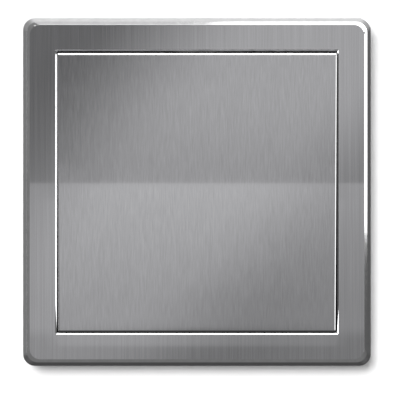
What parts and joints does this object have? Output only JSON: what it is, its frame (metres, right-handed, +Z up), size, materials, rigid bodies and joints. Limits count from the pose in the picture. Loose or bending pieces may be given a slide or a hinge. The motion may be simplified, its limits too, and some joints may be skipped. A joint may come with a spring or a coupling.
{
  "type": "rocker wall switch",
  "caption": "Flush-mounted rocker wall switch: brushed steel square frame and large rocker on an insert with claws, contacts and push-in terminals.",
  "frame": {"origin": "centre of the switch on the wall plane", "axes": "+Z up the wall, +Y into the wall, -Y out to the room, +X to the right seen from the room"},
  "size_m": [0.081, 0.0383, 0.081],
  "materials": {
    "front_steel": "vertical brushed grain under a clear satin coat",
    "zinc_steel": "zinc plated sheet",
    "spring_steel": "bright drawn",
    "brass": "stamped strip",
    "contact_silver": "silver alloy rivet",
    "grey_plastic": "fine moulded texture",
    "white_plastic": "moulded thermoplastic",
    "orange_plastic": "moulded thermoplastic"
  },
  "bodies": {
    "insert": {"cover_frame": "front_steel", "frame_carrier": "grey_plastic", "support_ring": "zinc_steel", "switch_base": "white_plastic", "base_cover": "white_plastic", "common_contact": "brass", "upper_contact": "brass", "lower_contact": "brass", "upper_fixed_tip": "contact_silver", "lower_fixed_tip": "contact_silver", "common_clamp_spring": "spring_steel", "upper_clamp_spring": "spring_steel", "lower_clamp_spring": "spring_steel", "left_claw_pin": "zinc_steel", "right_claw_pin": "zinc_steel", "lower_left_rivet": "zinc_steel", "upper_left_rivet": "zinc_steel", "lower_right_rivet": "zinc_steel", "upper_right_rivet": "zinc_steel"},
    "rocker": {"rocker_face": "front_steel", "rocker_body": "grey_plastic", "cradle": "grey_plastic", "plunger_spring": "spring_steel"},
    "plunger": {"plunger": "white_plastic"},
    "contact_lever": {"contact_lever": "brass", "upper_moving_tip": "contact_silver", "lower_moving_tip": "contact_silver"},
    "common_release_button": {"common_release_button": "orange_plastic"},
    "upper_release_button": {"upper_release_button": "orange_plastic"},
    "lower_release_button": {"lower_release_button": "orange_plastic"},
    "left_claw": {"left_claw": "zinc_steel"},
    "right_claw": {"right_claw": "zinc_steel"},
    "left_claw_screw": {"left_claw_screw": "zinc_steel"},
    "right_claw_screw": {"right_claw_screw": "zinc_steel"}
  },
  "joints": [
    {"name": "rocker_tilt", "type": "hinge", "parent": "insert", "child": "rocker", "pos_m": [0, -0.0055, 0], "axis": [-1, 0, 0], "range_deg": [0, 7.8]},
    {"name": "contact_lever_tilt", "type": "hinge", "parent": "insert", "child": "contact_lever", "pos_m": [0, 0.013, 0], "axis": [1, 0, 0], "range_deg": [0, 17]},
    {"name": "plunger_slide", "type": "slide", "parent": "rocker", "child": "plunger", "axis": [0, -0.9977, -0.068], "range_m": [0, 0.001], "stiffness_N_per_m": 400, "deforming": ["plunger_spring"]},
    {"name": "common_release_button_push", "type": "slide", "parent": "insert", "child": "common_release_button", "axis": [0, -1, 0], "range_m": [0, 0.0015], "stiffness_N_per_m": 800, "deforming": ["common_clamp_spring"]},
    {"name": "upper_release_button_push", "type": "slide", "parent": "insert", "child": "upper_release_button", "axis": [0, -1, 0], "range_m": [0, 0.0015], "stiffness_N_per_m": 800, "deforming": ["upper_clamp_spring"]},
    {"name": "lower_release_button_push", "type": "slide", "parent": "insert", "child": "lower_release_button", "axis": [0, -1, 0], "range_m": [0, 0.0015], "stiffness_N_per_m": 800, "deforming": ["lower_clamp_spring"]},
    {"name": "left_claw_screw_turn", "type": "hinge", "parent": "insert", "child": "left_claw_screw", "pos_m": [-0.0264, 0, 0.01], "axis": [0, 1, 0], "range_deg": [0, 720]},
    {"name": "right_claw_screw_turn", "type": "hinge", "parent": "insert", "child": "right_claw_screw", "pos_m": [0.0264, 0, -0.01], "axis": [0, 1, 0], "range_deg": [0, 720]},
    {"name": "left_claw_swing", "type": "hinge", "parent": "insert", "child": "left_claw", "pos_m": [-0.0229, 0.007, 0.01], "axis": [0, 0, 1], "range_deg": [0, 25]},
    {"name": "right_claw_swing", "type": "hinge", "parent": "insert", "child": "right_claw", "pos_m": [0.0229, 0.007, -0.01], "axis": [0, 0, -1], "range_deg": [0, 25]}
  ],
  "couplings": [
    {"joint": "contact_lever_tilt", "follows": "rocker_tilt", "ratio": 2.1794},
    {"joint": "left_claw_swing", "follows": "left_claw_screw_turn", "ratio": 0.0347},
    {"joint": "right_claw_swing", "follows": "right_claw_screw_turn", "ratio": 0.0347}
  ]
}
